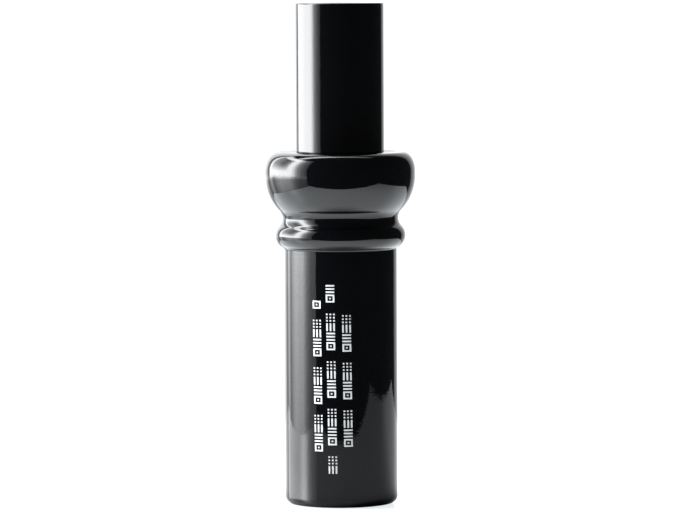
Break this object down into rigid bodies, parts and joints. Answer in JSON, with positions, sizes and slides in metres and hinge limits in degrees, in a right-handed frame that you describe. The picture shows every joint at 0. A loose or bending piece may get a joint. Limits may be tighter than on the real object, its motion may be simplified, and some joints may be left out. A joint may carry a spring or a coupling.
{
  "type": "duck call",
  "caption": "Turned acrylic duck call: a barrel with a bead, lanyard groove and bulge, and a pull-out insert holding a tone board, a reed and a cork wedge.",
  "frame": {"origin": "centre of the mouthpiece face that the call stands on", "axes": "+Z along the call's axis, from the mouthpiece to the exhaust end; the reed and its cork lie on the -Y side of the tone board"},
  "size_m": [0.0382, 0.0382, 0.127],
  "materials": {
    "barrel_acrylic": "polished black acrylic",
    "insert_acrylic": "polished black acrylic",
    "o_ring_rubber": "satin black nitrile",
    "reed_plastic": "frosted clear polyester film",
    "cork": "raw cork"
  },
  "bodies": {
    "barrel": {"barrel": "barrel_acrylic"},
    "o_rings": {"upper_o_ring": "o_ring_rubber", "lower_o_ring": "o_ring_rubber"},
    "insert": {"insert": "insert_acrylic", "cork_wedge": "cork"},
    "reed": {"reed": "reed_plastic"}
  },
  "joints": [
    {"name": "insert_pull", "type": "slide", "parent": "barrel", "child": "o_rings", "axis": [0, 0, 1], "range_m": [0, 0.072]},
    {"name": "insert_turn", "type": "hinge", "parent": "o_rings", "child": "insert", "pos_m": [0, 0, 0.079], "axis": [0, 0, 1], "continuous": true},
    {"name": "reed_flex", "type": "hinge", "parent": "insert", "child": "reed", "pos_m": [0, -0.00128, 0.0554], "axis": [1, 0, 0], "range_deg": [-0.8, 2], "stiffness_Nm_per_rad": 0.02, "deforming": ["reed"]}
  ]
}
